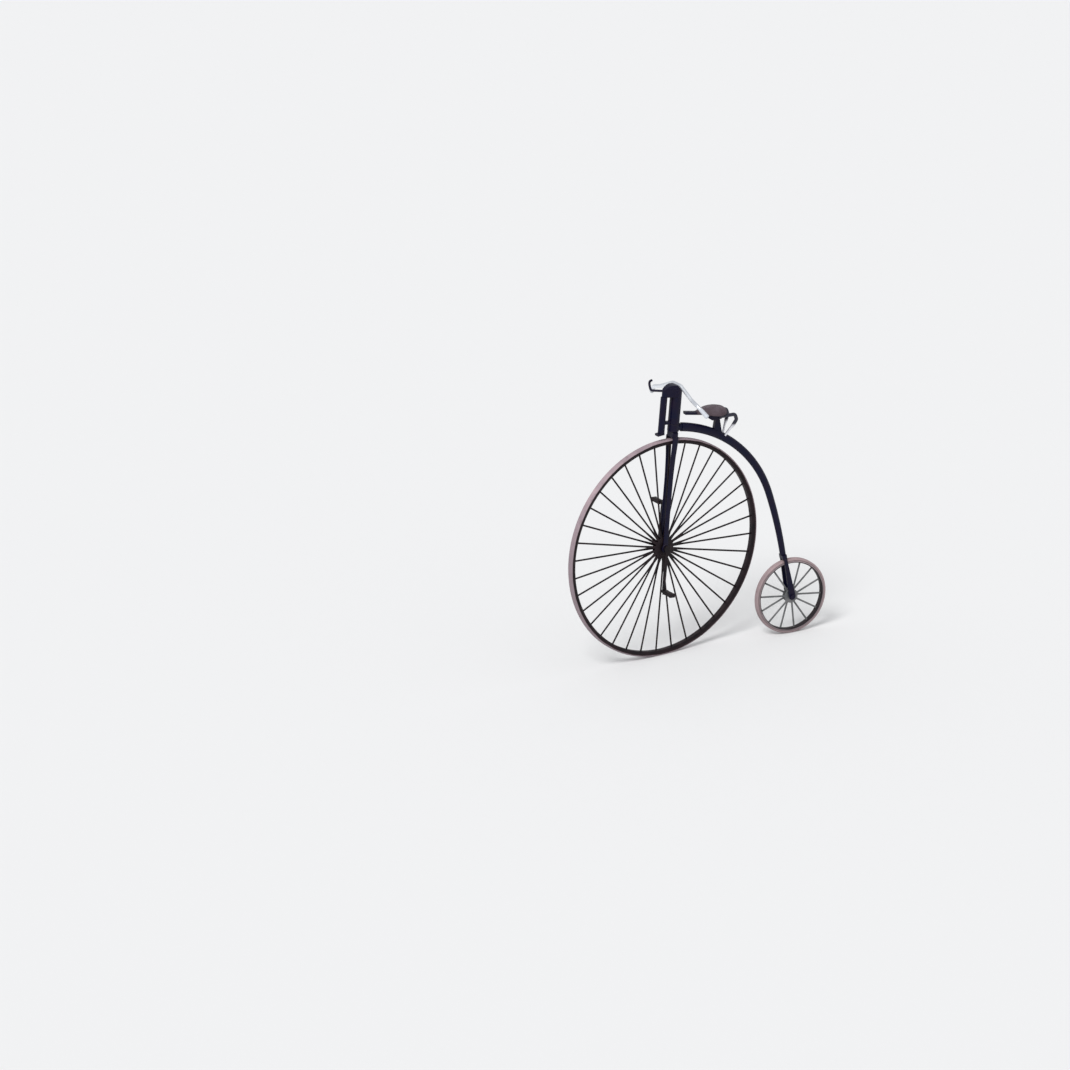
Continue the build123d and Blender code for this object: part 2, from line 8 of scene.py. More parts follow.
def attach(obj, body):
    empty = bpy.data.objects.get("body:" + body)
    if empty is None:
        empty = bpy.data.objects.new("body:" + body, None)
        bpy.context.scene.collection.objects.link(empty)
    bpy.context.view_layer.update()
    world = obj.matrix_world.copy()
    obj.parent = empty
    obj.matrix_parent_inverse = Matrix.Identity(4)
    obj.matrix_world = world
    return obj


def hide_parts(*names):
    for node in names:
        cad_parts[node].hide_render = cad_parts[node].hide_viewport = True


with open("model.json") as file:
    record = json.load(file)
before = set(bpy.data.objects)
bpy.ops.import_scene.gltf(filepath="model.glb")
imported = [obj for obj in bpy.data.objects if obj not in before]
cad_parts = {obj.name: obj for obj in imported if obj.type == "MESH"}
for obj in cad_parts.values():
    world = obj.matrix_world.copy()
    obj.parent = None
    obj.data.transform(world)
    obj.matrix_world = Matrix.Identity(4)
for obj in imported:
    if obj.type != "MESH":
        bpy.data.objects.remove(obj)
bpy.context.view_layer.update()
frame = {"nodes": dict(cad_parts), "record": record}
scene = bpy.context.scene
scene.view_settings.view_transform = "Standard"

# layout of the part in millimetres; the planes below turn it into metres
layout = {
    "frontRadius": 17.0, "rearRadius": 5.9, "tyreGap": 1.4, "rake": 5.0, "turn": 8.0,
    "backboneClearance": 1.75, "seatBack": 9.15, "saddleRise": 4.53,
}
millimetre = 0.001
rake = radians(layout["rake"])
backboneRadius = layout["frontRadius"] + layout["backboneClearance"]
seatHeight = sqrt(backboneRadius**2 - layout["seatBack"]**2) + layout["saddleRise"]
hub = Vector((-layout["seatBack"], 0, -seatHeight))
axisUp = Vector((sin(rake), 0, cos(rake)))
axisBack = Vector((cos(rake), 0, -sin(rake)))
axleDrop = layout["frontRadius"] - layout["rearRadius"]
axleReach = layout["frontRadius"] + layout["rearRadius"] + layout["tyreGap"]
rearAxle = hub + Vector((sqrt(axleReach**2 - axleDrop**2), 0, -axleDrop))


# a plane's local x runs rearward, local y up and local z to the left
def plane(origin, back, left):
    turn = Matrix((back, left.cross(back), left)).transposed().to_4x4()
    return Matrix.Scale(millimetre, 4) @ Matrix.Translation(origin) @ turn


toBack = Vector((1, 0, 0))
toLeft = Vector((0, -1, 0))
steer = Matrix.Rotation(radians(layout["turn"]), 3, axisUp)
seatPlane = plane(Vector(), toBack, toLeft)
bikePlane = plane(hub, toBack, toLeft)
steeredPlane = plane(hub, steer @ axisBack, steer @ toLeft)
rearPlane = plane(rearAxle, toBack, toLeft)
sides = (("left", 1), ("right", -1))  # each with its sign along a plane's z

# camera: long lens from the front left, a little above, with the front hub on its pixel
view = {
    "azimuth": -26.9, "elevation": 19.5, "distance": 1.5, "focalPixels": 10065.0,
    "imageSize": 1070.0, "hubPixel": (662.9, 547.2), "sensorWidth": 36.0, "clip": (0.01, 10.0),
}


def placeCamera(view):
    azimuth = radians(view["azimuth"])
    elevation = radians(view["elevation"])
    level = Vector((sin(azimuth), -cos(azimuth), 0)) * cos(elevation)
    back = level + Vector((0, 0, sin(elevation)))
    right = Vector((cos(azimuth), sin(azimuth), 0))
    up = back.cross(right)
    pixel = view["distance"] / view["focalPixels"]  # what one pixel spans at the front hub
    across = (view["hubPixel"][0] - view["imageSize"] / 2) * pixel
    rise = (view["imageSize"] / 2 - view["hubPixel"][1]) * pixel
    place = hub * millimetre + back * view["distance"] - right * across - up * rise
    data = bpy.data.cameras.new("camera")
    data.sensor_width = view["sensorWidth"]
    data.lens = view["focalPixels"] / view["imageSize"] * view["sensorWidth"]
    data.clip_start, data.clip_end = view["clip"]
    camera = bpy.data.objects.new("camera", data)
    turn = Matrix((right, up, back)).transposed()
    camera.matrix_world = Matrix.Translation(place) @ turn.to_4x4()
    scene.collection.objects.link(camera)
    scene.camera = camera


placeCamera(view)
print("camera placed")


# adds a node; each value given is set on its socket, or linked when it is another socket
def add(tree, kind, values=None, **settings):
    node = tree.nodes.new(kind)
    for name, setting in settings.items():
        setattr(node, name, setting)
    for name, value in (values or {}).items():
        socket = node.inputs[name]
        if isinstance(value, bpy.types.NodeSocket):
            tree.links.new(value, socket)
        else:
            socket.default_value = value
    return node


def calc(tree, operation, *values):
    return add(tree, "ShaderNodeMath", dict(enumerate(values)), operation=operation).outputs[0]


def span(tree, value, low, high, toLow=0.0, toHigh=1.0):
    return add(tree, "ShaderNodeMapRange", {
        "Value": value, "From Min": low, "From Max": high, "To Min": toLow, "To Max": toHigh,
    }).outputs["Result"]


def xyz(tree, x=0.0, y=0.0, z=0.0):
    return add(tree, "ShaderNodeCombineXYZ", {0: x, 1: y, 2: z}).outputs[0]


def heightOf(tree, vector):
    return add(tree, "ShaderNodeSeparateXYZ", {0: vector}).outputs["Z"]


# materials
usualNoise = (0.3, 0.7)  # nearly all values of a noise lie between these

# kinds of patch: detail and roughness of the noise, then its values where a patch starts and is full
patchKinds = {
    "paint": (4.0, 0.55, 0.35, 0.68), "rub": (4.0, 0.55, 0.42, 0.62), "dust": (5.0, 0.65, 0.4, 0.7),
    "wheel": (5.0, 0.6, 0.32, 0.7), "wobble": (3.0, 0.55, 0.3, 0.7), "cloud": (2.0, 0.55, 0.36, 0.64),
    "grime": (6.0, 0.7, 0.52, 0.74), "lowShade": (4.0, 0.55, 0.3, 0.6),
    "tarnish": (4.0, 0.55, 0.45, 0.72), "hide": (5.0, 0.6, 0.34, 0.68), "wearAndHighlight": (4.0, 0.55, 0.3, 0.7),
}

# dust lies on faces that look up; an edge is rubbed where its rounded normal leaves the true one
wearRules = {"dustSlope": (0.2, 1.0), "rubTurn": (0.995, 0.86), "bevelSamples": 6}


def newMaterial(name):
    material = bpy.data.materials.new(name)
    material.use_nodes = True
    tree = material.node_tree
    return material, tree, tree.nodes["Principled BSDF"]


def objectPlace(tree):
    return tree.nodes.new("ShaderNodeTexCoord").outputs["Object"]


def attribute(tree, name):
    return add(tree, "ShaderNodeAttribute", attribute_name=name).outputs["Fac"]


def noise(tree, where, scale, detail=3.0, roughness=0.55):
    return add(tree, "ShaderNodeTexNoise", {
        "Vector": where, "Scale": scale, "Detail": detail, "Roughness": roughness,
    }).outputs["Fac"]


def patches(tree, where, kind, scale, least=0.0, most=1.0):
    detail, roughness, start, full = patchKinds[kind]
    return span(tree, noise(tree, where, scale, detail, roughness), start, full, least, most)


def blendColours(tree, factor, first, second):
    node = tree.nodes.new("ShaderNodeMix")
    node.data_type = "RGBA"
    for place, value in ((0, factor), (6, first), (7, second)):  # the colour sockets of this node
        socket = node.inputs[place]
        if isinstance(value, bpy.types.NodeSocket):
            tree.links.new(value, socket)
        else:
            socket.default_value = (*value, 1.0) if socket.type == "RGBA" else value
    return node.outputs[2]


# how much an edge is rubbed, and the rounded normal
def edgeRub(tree, where, radius, scale):
    rounded = add(tree, "ShaderNodeBevel", {"Radius": radius}, samples=wearRules["bevelSamples"])
    rounded = rounded.outputs["Normal"]
    true = tree.nodes.new("ShaderNodeNewGeometry").outputs["Normal"]
    same = add(tree, "ShaderNodeVectorMath", {0: rounded, 1: true}, operation="DOT_PRODUCT")
    edge = span(tree, same.outputs["Value"], *wearRules["rubTurn"])
    return calc(tree, "MULTIPLY", edge, patches(tree, where, "rub", scale)), rounded


# the end of every material: its colour, roughness, relief and gloss go to the shader
def finishMaterial(tree, shader, look, colour, roughness, relief, normal=None):
    bump = {"Strength": look["bump"], "Distance": look["depth"], "Height": relief}
    if normal is not None:
        bump["Normal"] = normal
    tree.links.new(colour, shader.inputs["Base Color"])
    tree.links.new(roughness, shader.inputs["Roughness"])
    tree.links.new(add(tree, "ShaderNodeBump", bump).outputs["Normal"], shader.inputs["Normal"])
    shader.inputs["Specular IOR Level"].default_value = look["gloss"]


# painted metal, brushed along an axis, with dust on top and rubbed edges
def paintMaterial(name, look):
    material, tree, shader = newMaterial(name)
    where = objectPlace(tree)
    mottle = patches(tree, where, "paint", look["mottleScale"])
    colour = blendColours(tree, mottle, look["colour"], look["second"])
    facingUp = heightOf(tree, tree.nodes.new("ShaderNodeNewGeometry").outputs["Normal"])
    dust = calc(tree, "MULTIPLY", span(tree, facingUp, *wearRules["dustSlope"]),
                patches(tree, where, "dust", look["dustScale"], 0.0, look["dust"]))
    colour = blendColours(tree, dust, colour, look["dustColour"])
    rub, rounded = edgeRub(tree, where, look["edge"], look["rubScale"])
    colour = blendColours(tree, calc(tree, "MULTIPLY", rub, look["rub"]), colour, look["rubColour"])
    fine = noise(tree, where, look["fineScale"], detail=3.0, roughness=0.6)
    streaks = add(tree, "ShaderNodeMapping", {"Vector": where, "Scale": look["brush"]}).outputs[0]
    relief = calc(tree, "ADD", fine, noise(tree, streaks, look["streakScale"], detail=2.0))
    roughness = span(tree, fine, *usualNoise, *look["rough"])
    finishMaterial(tree, shader, look, colour, roughness, relief, rounded)
    return material


frameLook = paintMaterial("enamelLook", {
    "colour": (0.0026, 0.0036, 0.020), "second": (0.0085, 0.0048, 0.018), "mottleScale": 700.0,
    "dust": 0.1, "dustColour": (0.09, 0.085, 0.10), "dustScale": 1500.0,
    "edge": 0.00006, "rub": 0.6, "rubColour": (0.10, 0.085, 0.09), "rubScale": 1400.0,
    "rough": (0.24, 0.45), "fineScale": 3200.0, "streakScale": 1920.0, "brush": (1.0, 1.0, 0.18),
    "bump": 0.3, "depth": 0.00002, "gloss": 0.15,
})
wheelLook = paintMaterial("wheelPaintLook", {
    "colour": (0.0060, 0.0042, 0.0062), "second": (0.018, 0.0095, 0.012), "mottleScale": 650.0,
    "dust": 0.14, "dustColour": (0.12, 0.09, 0.09), "dustScale": 1300.0,
    "edge": 0.00004, "rub": 0.5, "rubColour": (0.14, 0.11, 0.10), "rubScale": 1300.0,
    "rough": (0.37, 0.58), "fineScale": 3000.0, "streakScale": 1800.0, "brush": (0.3, 1.0, 0.3),
    "bump": 0.4, "depth": 0.00002, "gloss": 0.16,
})
rearSpokeLook = paintMaterial("rearSpokeLook", {
    "colour": (0.085, 0.092, 0.095), "second": (0.17, 0.165, 0.17), "mottleScale": 800.0,
    "dust": 0.25, "dustColour": (0.30, 0.27, 0.27), "dustScale": 1500.0,
    "edge": 0.00004, "rub": 0.4, "rubColour": (0.32, 0.30, 0.29), "rubScale": 1600.0,
    "rough": (0.41, 0.62), "fineScale": 3000.0, "streakScale": 1800.0, "brush": (0.3, 1.0, 0.3),
    "bump": 0.4, "depth": 0.00002, "gloss": 0.45,
})


# two colours that meet at a height in the wheel's section, which the ring tree stores; the inner one
# is paint on the front tyre and painted shade on the rear wheel, the outer one has clouds, grime and a
# stretch of painted shade low on the wheel
def bandedMaterial(name, look):
    material, tree, shader = newMaterial(name)
    where = objectPlace(tree)
    wobble = patches(tree, where, "wobble", look["wobbleScale"], -look["wobble"], look["wobble"])
    height = calc(tree, "ADD", attribute(tree, "height"), wobble)
    band = span(tree, height, look["edge"] - look["soft"], look["edge"] + look["soft"])
    mottle = patches(tree, where, "wheel", look["mottleScale"])
    inner = blendColours(tree, mottle, look["inner"], look["innerSecond"])
    outer = blendColours(tree, mottle, look["outer"], look["outerSecond"])
    cloud = patches(tree, where, "cloud", look["cloudScale"], 0.0, look["cloud"])
    outer = blendColours(tree, cloud, outer, look["cloudColour"])
    grime = patches(tree, where, "grime", look["grimeScale"], 0.0, look["grime"])
    outer = blendColours(tree, grime, outer, look["grimeColour"])
    # painted shade: the outer colour darkens towards the bottom of each wheel, in patches
    low = span(tree, heightOf(tree, where), *look["lowShadeHeights"], 0.0, look["lowShade"])
    lowShade = calc(tree, "MULTIPLY", low,
                patches(tree, where, "lowShade", look["lowShadeScale"], look["lowShadeLeast"]))
    outer = blendColours(tree, lowShade, outer, look["lowShadeColour"])
    colour = blendColours(tree, band, inner, outer)
    fine = noise(tree, where, look["fineScale"], detail=4.0, roughness=0.6)
    roughness = span(tree, fine, *usualNoise, *look["rough"])
    finishMaterial(tree, shader, look, colour, roughness, fine)
    return material


tyreLook = bandedMaterial("tyrePaintLook", {
    "edge": 0.52, "soft": 0.07, "wobble": 0.1, "wobbleScale": 420.0,
    "inner": (0.014, 0.0085, 0.0095), "innerSecond": (0.034, 0.019, 0.021),
    "outer": (0.47, 0.355, 0.38), "outerSecond": (0.33, 0.26, 0.295), "mottleScale": 420.0,
    "cloud": 0.6, "cloudColour": (0.24, 0.19, 0.215), "cloudScale": 75.0,
    "grime": 0.65, "grimeColour": (0.16, 0.12, 0.13), "grimeScale": 1000.0,
    # painted shade towards the bottom of the wheel
    "lowShade": 0.6, "lowShadeLeast": 0.55, "lowShadeColour": (0.165, 0.135, 0.15), "lowShadeScale": 260.0,
    "lowShadeHeights": (-0.015, -0.028),
    "rough": (0.6, 0.85), "fineScale": 3600.0, "bump": 0.5, "depth": 0.00003, "gloss": 0.25,
})
rearTyreLook = bandedMaterial("rearTyrePaintLook", {
    "edge": 0.2, "soft": 0.1, "wobble": 0.12, "wobbleScale": 600.0,
    # the inner colour is painted shade on the tyre's inward faces
    "inner": (0.14, 0.10, 0.10), "innerSecond": (0.22, 0.17, 0.17),
    "outer": (0.46, 0.34, 0.345), "outerSecond": (0.35, 0.27, 0.28), "mottleScale": 480.0,
    "cloud": 0.5, "cloudColour": (0.22, 0.17, 0.18), "cloudScale": 130.0,
    "grime": 0.6, "grimeColour": (0.17, 0.12, 0.12), "grimeScale": 1100.0,
    # painted shade towards the bottom of the wheel
    "lowShade": 0.5, "lowShadeLeast": 0.55, "lowShadeColour": (0.165, 0.135, 0.145), "lowShadeScale": 320.0,
    "lowShadeHeights": (-0.028, -0.036),
    "rough": (0.6, 0.85), "fineScale": 3600.0, "bump": 0.5, "depth": 0.00003, "gloss": 0.25,
})
rearRimLook = bandedMaterial("rearRimPaintLook", {
    "edge": 0.42, "soft": 0.1, "wobble": 0.1, "wobbleScale": 700.0,
    # the inner colour is painted shade over the rim's inner face
    "inner": (0.008, 0.006, 0.008), "innerSecond": (0.022, 0.014, 0.017),
    "outer": (0.34, 0.27, 0.28), "outerSecond": (0.24, 0.195, 0.205), "mottleScale": 600.0,
    "cloud": 0.45, "cloudColour": (0.17, 0.14, 0.15), "cloudScale": 200.0,
    "grime": 0.5, "grimeColour": (0.10, 0.075, 0.08), "grimeScale": 1200.0,
    # painted shade towards the bottom of the wheel
    "lowShade": 0.4, "lowShadeLeast": 0.55, "lowShadeColour": (0.13, 0.105, 0.115), "lowShadeScale": 320.0,
    "lowShadeHeights": (-0.028, -0.036),
    "rough": (0.5, 0.7), "fineScale": 3200.0, "bump": 0.4, "depth": 0.00002, "gloss": 0.25,
})


# drawn wire: fine scratches along its length, which the tube tree stores, and paint above a height
def wireMaterial(name, look):
    material, tree, shader = newMaterial(name)
    where = objectPlace(tree)
    along = calc(tree, "MULTIPLY", attribute(tree, "along"), look["stretch"])
    around = calc(tree, "MULTIPLY", attribute(tree, "around"), look["scratches"])
    scratch = noise(tree, xyz(tree, along, around), scale=1.0, detail=4.0, roughness=0.7)
    tarnish = patches(tree, where, "tarnish", look["tarnishScale"], 0.0, look["tarnish"])
    colour = blendColours(tree, tarnish, look["colour"], look["tarnishColour"])
    roughness = span(tree, scratch, *usualNoise, *look["rough"])
    shader.inputs["Metallic"].default_value = look["metal"]
    if "paintAbove" in look:
        painted = span(tree, heightOf(tree, where), *look["paintAbove"])
        colour = blendColours(tree, painted, colour, look["paint"])
        metal = span(tree, painted, 0.0, 1.0, look["metal"], 0.0)
        tree.links.new(metal, shader.inputs["Metallic"])
        roughness = calc(tree, "ADD", roughness, calc(tree, "MULTIPLY", painted, look["paintRough"]))
    finishMaterial(tree, shader, look, colour, roughness, scratch)
    return material


barLook = wireMaterial("brightBarLook", {
    "colour": (0.86, 0.89, 0.93), "tarnish": 0.5, "tarnishColour": (0.52, 0.53, 0.60),
    "tarnishScale": 500.0, "metal": 0.85, "rough": (0.2, 0.42), "scratches": 26.0,
    "stretch": 0.5, "bump": 0.25, "depth": 0.00001, "gloss": 0.5,
})
gripLook = wireMaterial("gripLook", {
    "colour": (0.60, 0.63, 0.68), "tarnish": 0.6, "tarnishColour": (0.40, 0.40, 0.45),
    "tarnishScale": 900.0, "metal": 0.0, "rough": (0.35, 0.55), "scratches": 12.0,
    "stretch": 0.5, "bump": 0.3, "depth": 0.00001, "gloss": 0.5,
})
springLook = wireMaterial("springWireLook", {
    "colour": (0.80, 0.80, 0.84), "tarnish": 0.6, "tarnishColour": (0.48, 0.42, 0.46),
    "tarnishScale": 900.0, "metal": 0.75, "rough": (0.22, 0.45), "scratches": 18.0,
    "stretch": 0.5, "bump": 0.3, "depth": 0.00001, "gloss": 0.5,
    "paintAbove": (-0.0031, -0.0027), "paint": (0.012, 0.012, 0.026), "paintRough": 0.12,
})


# leather: a pebbled grain of cells, darker in its pores, and paler over the crown for both wear and a
# painted highlight
def leatherMaterial(name, look):
    material, tree, shader = newMaterial(name)
    where = objectPlace(tree)
    grain = add(tree, "ShaderNodeTexVoronoi", {
        "Vector": where, "Scale": look["grainScale"], "Randomness": look["grainRandomness"],
    }, feature="DISTANCE_TO_EDGE").outputs["Distance"]
    pebble = span(tree, grain, 0.0, look["poreWidth"])
    hide = patches(tree, where, "hide", look["patchScale"])
    colour = blendColours(tree, hide, look["colour"], look["second"])
    # wear and painted highlight: the leather is paler over the top of the crown, in patches
    crown = span(tree, heightOf(tree, where), *look["crown"])
    wornAndHighlit = calc(tree, "MULTIPLY", crown, patches(tree, where, "wearAndHighlight", look["wearAndHighlightScale"]))
    colour = blendColours(tree, calc(tree, "MULTIPLY", wornAndHighlit, look["wearAndHighlight"]), colour, look["wornAndHighlitColour"])
    pore = span(tree, pebble, 0.0, 1.0, look["poreDark"], 0.0)
    colour = blendColours(tree, pore, colour, look["poreColour"])
    relief = calc(tree, "ADD", pebble, noise(tree, where, look["fineScale"], detail=3.0))
    roughness = span(tree, wornAndHighlit, 0.0, 1.0, *look["rough"])
    finishMaterial(tree, shader, look, colour, roughness, relief)
    return material


saddleLook = leatherMaterial("saddleLeatherLook", {
    "colour": (0.052, 0.032, 0.040), "second": (0.090, 0.062, 0.078), "patchScale": 420.0,
    "grainScale": 4200.0, "grainRandomness": 0.9, "fineScale": 2100.0,
    # the crown's paler colour is wear and a painted highlight
    "crown": (-0.0005, 0.0), "wearAndHighlight": 0.55, "wearAndHighlightScale": 700.0, "wornAndHighlitColour": (0.16, 0.125, 0.15),
    "poreWidth": 0.12, "poreDark": 0.35, "poreColour": (0.05, 0.03, 0.032),
    "rough": (0.62, 0.46), "bump": 0.55, "depth": 0.00003, "gloss": 0.4,
})
print("materials made")


# geometry trees
def newTree(name, inputs):
    tree = bpy.data.node_groups.new(name, "GeometryNodeTree")
    tree.interface.new_socket("Geometry", in_out="INPUT", socket_type="NodeSocketGeometry")
    kinds = {"number": "NodeSocketFloat", "count": "NodeSocketInt", "material": "NodeSocketMaterial"}
    for label, kind in inputs.items():
        tree.interface.new_socket(label, in_out="INPUT", socket_type=kinds[kind])
    tree.interface.new_socket("Geometry", in_out="OUTPUT", socket_type="NodeSocketGeometry")
    return tree, tree.nodes.new("NodeGroupInput").outputs


def endTree(tree, geometry, material):
    real = add(tree, "GeometryNodeRealizeInstances", {"Geometry": geometry}).outputs[0]
    done = add(tree, "GeometryNodeSetMaterial", {"Geometry": real, "Material": material}).outputs[0]
    tree.links.new(done, tree.nodes.new("NodeGroupOutput").inputs[0])


def store(tree, geometry, name, value):
    return add(tree, "GeometryNodeStoreNamedAttribute", {
        "Geometry": geometry, "Name": name, "Value": value,
    }, data_type="FLOAT", domain="POINT").outputs[0]


def roundCorners(tree, curve, radius, points):
    return add(tree, "GeometryNodeFilletCurve", {
        "Curve": curve, "Count": points, "Radius": radius, "Limit Radius": True,
    }, mode="POLY").outputs[0]


def circle(tree, points, radius):
    return add(tree, "GeometryNodeCurvePrimitiveCircle", {
        "Resolution": points, "Radius": radius,
    }).outputs["Curve"]


def sweep(tree, path, section, **more):
    return add(tree, "GeometryNodeCurveToMesh", {
        "Curve": path, "Profile Curve": section, **more,
    }).outputs[0]


# a section with four rounded corners: its height from the circle and its half width at both ends
def ringSection(tree, height, innerHalf, outerHalf, corner, cornerPoints):
    flat = add(tree, "GeometryNodeCurvePrimitiveQuadrilateral", {
        "Point 1": xyz(tree, 0.0, calc(tree, "MULTIPLY", innerHalf, -1.0)),
        "Point 2": xyz(tree, height, calc(tree, "MULTIPLY", outerHalf, -1.0)),
        "Point 3": xyz(tree, height, outerHalf), "Point 4": xyz(tree, 0.0, innerHalf),
    }, mode="POINTS").outputs[0]
    return roundCorners(tree, flat, corner, cornerPoints)


# tyre or rim: the section swept round the wheel, with its height stored from 0 inside to 1 outside
def ringTree():
    tree, given = newTree("ringTree", {
        "Inner Radius": "number", "Inner Half": "number", "Outer Radius": "number",
        "Outer Half": "number", "Corner": "number", "Corner Points": "count",
        "Segments": "count", "Material": "material",
    })
    rise = calc(tree, "SUBTRACT", given["Outer Radius"], given["Inner Radius"])
    section = ringSection(tree, rise, given["Inner Half"], given["Outer Half"],
                          given["Corner"], given["Corner Points"])
    ring = sweep(tree, circle(tree, given["Segments"], given["Inner Radius"]), section)
    spot = add(tree, "ShaderNodeSeparateXYZ", {
        0: tree.nodes.new("GeometryNodeInputPosition").outputs[0],
    }).outputs
    flat = xyz(tree, spot["X"], spot["Y"])
    reach = add(tree, "ShaderNodeVectorMath", {0: flat}, operation="LENGTH").outputs["Value"]
    height = span(tree, reach, given["Inner Radius"], given["Outer Radius"])
    endTree(tree, store(tree, ring, "height", height), given["Material"])
    return tree


# spider: a bevelled flange with flat spokes set round it by instances, each wider at its root
def spiderTree():
    tree, given = newTree("spiderTree", {
        "Spokes": "count", "First": "number", "Root Radius": "number", "Root Out": "number",
        "Tip Radius": "number", "Width": "number", "Thickness": "number", "Root Swell": "number",
        "Swell End": "number", "Steps": "count", "Spoke Corner Points": "count",
        "Hole Radius": "number", "Flange Radius": "number", "Flange Half": "number",
        "Flange Corner Points": "count", "Corner": "number", "Segments": "count",
        "Material": "material",
    })
    line = add(tree, "GeometryNodeCurvePrimitiveLine", {
        "Start": xyz(tree, given["Root Radius"], 0.0, given["Root Out"]),
        "End": xyz(tree, given["Tip Radius"]),
    }).outputs[0]
    line = add(tree, "GeometryNodeResampleCurve", {"Curve": line, "Count": given["Steps"]}).outputs[0]
    factor = tree.nodes.new("GeometryNodeSplineParameter").outputs["Factor"]
    swell = add(tree, "ShaderNodeMapRange", {
        "Value": factor, "From Max": given["Swell End"], "To Min": given["Root Swell"], "To Max": 1.0,
    }, interpolation_type="SMOOTHSTEP").outputs["Result"]
    strip = add(tree, "GeometryNodeCurvePrimitiveQuadrilateral", {
        "Width": given["Width"], "Height": given["Thickness"],
    }).outputs[0]
    strip = roundCorners(tree, strip, given["Corner"], given["Spoke Corner Points"])
    spoke = sweep(tree, line, strip, **{"Scale": swell, "Fill Caps": True})
    places = add(tree, "GeometryNodeMeshLine", {
        "Count": given["Spokes"], "Offset": (0.0, 0.0, 0.0),
    }).outputs[0]
    number = tree.nodes.new("GeometryNodeInputIndex").outputs[0]
    turn = calc(tree, "DIVIDE", calc(tree, "ADD", number, given["First"]), given["Spokes"])
    turned = xyz(tree, 0.0, 0.0, calc(tree, "MULTIPLY", turn, 2 * pi))
    spokes = add(tree, "GeometryNodeInstanceOnPoints", {
        "Points": places, "Instance": spoke, "Rotation": turned,
    }).outputs[0]
    breadth = calc(tree, "SUBTRACT", given["Flange Radius"], given["Hole Radius"])
    section = ringSection(tree, breadth, given["Flange Half"], given["Flange Half"],
                          given["Corner"], given["Flange Corner Points"])
    flange = sweep(tree, circle(tree, given["Segments"], given["Hole Radius"]), section)
    flange = add(tree, "GeometryNodeTransform", {
        "Geometry": flange, "Translation": xyz(tree, 0.0, 0.0, given["Root Out"]),
    }).outputs[0]
    join = tree.nodes.new("GeometryNodeJoinGeometry")
    tree.links.new(spokes, join.inputs[0])
    tree.links.new(flange, join.inputs[0])
    endTree(tree, join.outputs[0], given["Material"])
    return tree


# share of the thickness at a distance from an end that is rounded over a length; a fullness a
# little over 1 closes the end on a small flat
def dome(tree, distance, length, fullness=1.02):
    share = calc(tree, "SUBTRACT", 1.0, add(tree, "ShaderNodeMapRange", {
        "Value": distance, "From Max": length,
    }).outputs["Result"])
    share = calc(tree, "MULTIPLY", share, calc(tree, "GREATER_THAN", length, 0.0))
    return calc(tree, "SQRT", calc(tree, "SUBTRACT", fullness, calc(tree, "MULTIPLY", share, share)))


# tube: a round bar along the given corners, bent to a radius, that tapers between two shares of
# its length and is rounded at its ends
def tubeTree():
    tree, given = newTree("tubeTree", {
        "Bend Radius": "number", "Bend Points": "count", "Spacing": "number",
        "Start Radius": "number", "End Radius": "number", "Taper From": "number",
        "Taper To": "number", "Start Round": "number", "End Round": "number",
        "Sides": "count", "Material": "material",
    })
    path = roundCorners(tree, given["Geometry"], given["Bend Radius"], given["Bend Points"])
    path = add(tree, "GeometryNodeResampleCurve", {"Curve": path, "Length": given["Spacing"]},
               mode="LENGTH").outputs[0]
    spline = tree.nodes.new("GeometryNodeSplineParameter").outputs
    total = tree.nodes.new("GeometryNodeSplineLength").outputs["Length"]
    path = store(tree, path, "along", spline["Length"])
    taper = span(tree, spline["Factor"], given["Taper From"], given["Taper To"],
                 given["Start Radius"], given["End Radius"])
    left = calc(tree, "SUBTRACT", total, spline["Length"])
    ends = calc(tree, "MULTIPLY", dome(tree, spline["Length"], given["Start Round"]),
                dome(tree, left, given["End Round"]))
    ring = store(tree, circle(tree, given["Sides"], 1.0), "around",
                 tree.nodes.new("GeometryNodeSplineParameter").outputs["Factor"])
    thickness = calc(tree, "MULTIPLY", taper, ends)
    tube = sweep(tree, path, ring, **{"Scale": thickness, "Fill Caps": True})
    endTree(tree, tube, given["Material"])
    return tree


trees = {"ring": ringTree(), "spider": spiderTree(), "tube": tubeTree()}
tubeUsual = {
    "Bend Radius": 0.0, "Bend Points": 1, "Taper From": 0.0, "Taper To": 1.0,
    "Start Round": 0.0, "End Round": 0.0,
}
sharpAngle = 38.0  # edges that turn more than this stay crisp


# runs a tree with its named inputs and keeps the result as a plain mesh piece
def grow(name, treeName, values, where, body, node, path=None):
    tree = trees[treeName]
    if path:
        data = bpy.data.curves.new(name + "Path", "CURVE")
        data.dimensions = "3D"
        spline = data.splines.new("POLY")
        spline.points.add(len(path) - 1)
        for point, place in zip(spline.points, path):
            point.co = (*place, 1.0)
    else:
        data = bpy.data.meshes.new(name + "Seed")
    seed = bpy.data.objects.new(name + "Seed", data)
    scene.collection.objects.link(seed)
    modifier = seed.modifiers.new("grow", "NODES")
    modifier.node_group = tree
    sockets = {
        item.name: item.identifier for item in tree.interface.items_tree
        if item.item_type == "SOCKET" and item.in_out == "INPUT"
    }
    if treeName == "tube":
        values = {**tubeUsual, **values}
    for label, value in values.items():
        modifier[sockets[label]] = value
    bpy.context.view_layer.update()
    grown = seed.evaluated_get(bpy.context.evaluated_depsgraph_get())
    mesh = bpy.data.meshes.new_from_object(grown)
    bpy.data.objects.remove(seed)
    mesh.name = name
    mesh.transform(where)
    finishPiece(name, mesh, body, node)


